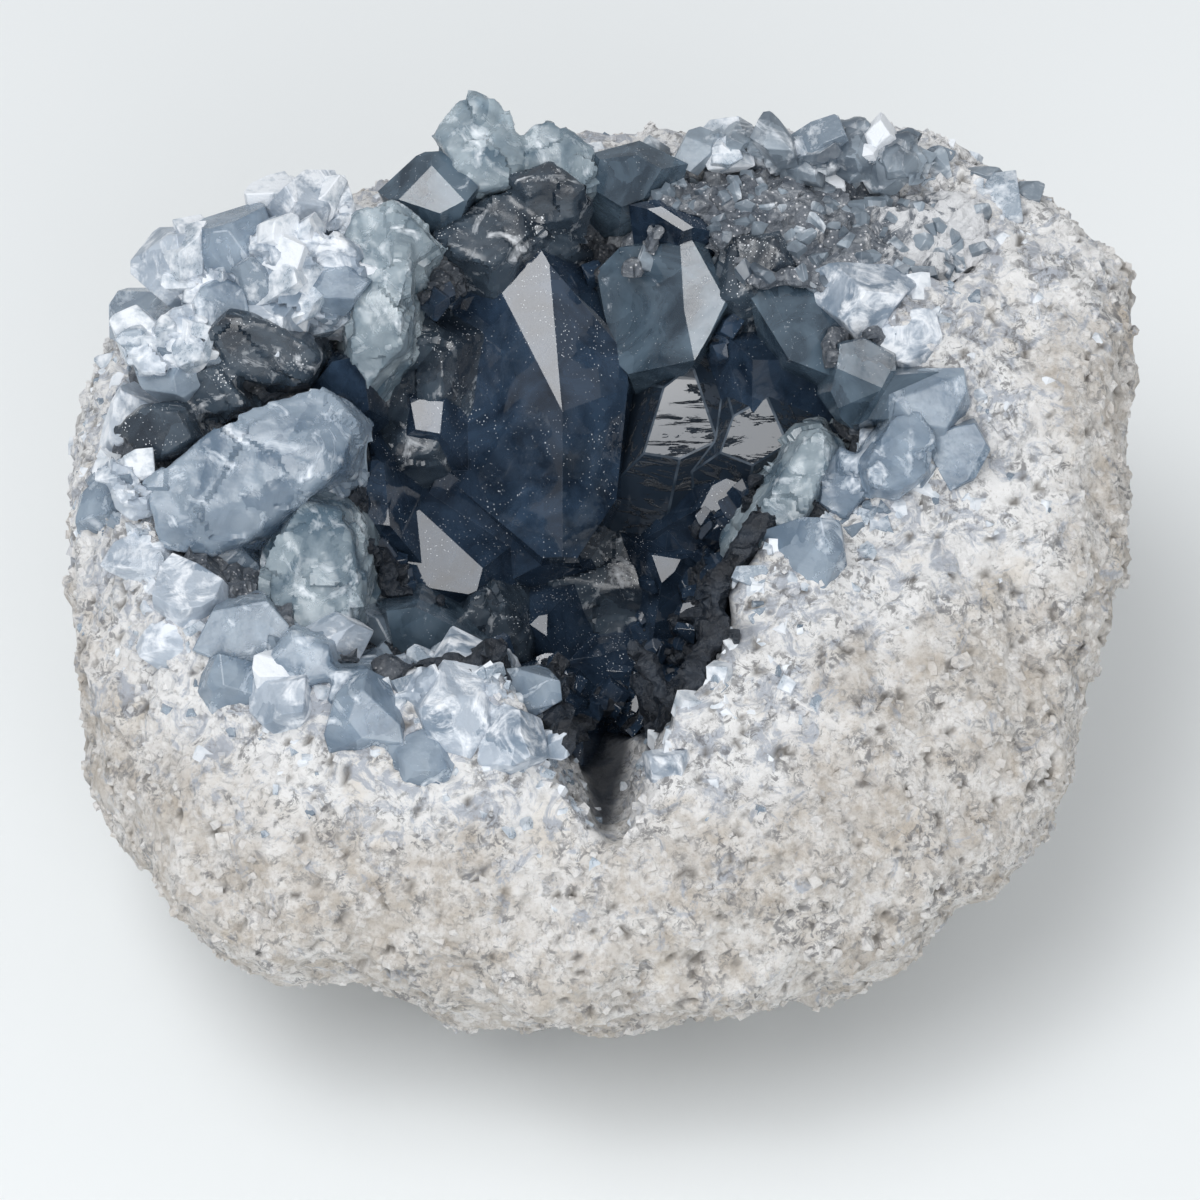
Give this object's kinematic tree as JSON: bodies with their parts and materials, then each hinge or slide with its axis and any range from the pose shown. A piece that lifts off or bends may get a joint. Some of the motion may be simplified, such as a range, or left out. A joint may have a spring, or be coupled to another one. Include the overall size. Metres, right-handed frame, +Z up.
{
  "type": "celestite geode",
  "caption": "Lump of pale granular rock broken open at the top, its deep hollow lined with one crust of blocky blue celestite crystals.",
  "frame": {"origin": "centre of the bounding box in plan, on the flat spot that the lump rests on", "axes": "+X to the right along the lump's longest side, +Y away from the low front rim, +Z up out of the hollow"},
  "size_m": [0.1501, 0.1398, 0.103],
  "materials": {
    "matrix": "rough, granular, chalky white with beige outer skin",
    "crystal": "glassy grey-blue crystal, dark where it is deep and frosted at the rim"
  },
  "bodies": {
    "root": {"matrix": "matrix", "crystal_crust": "crystal"}
  },
  "joints": []
}
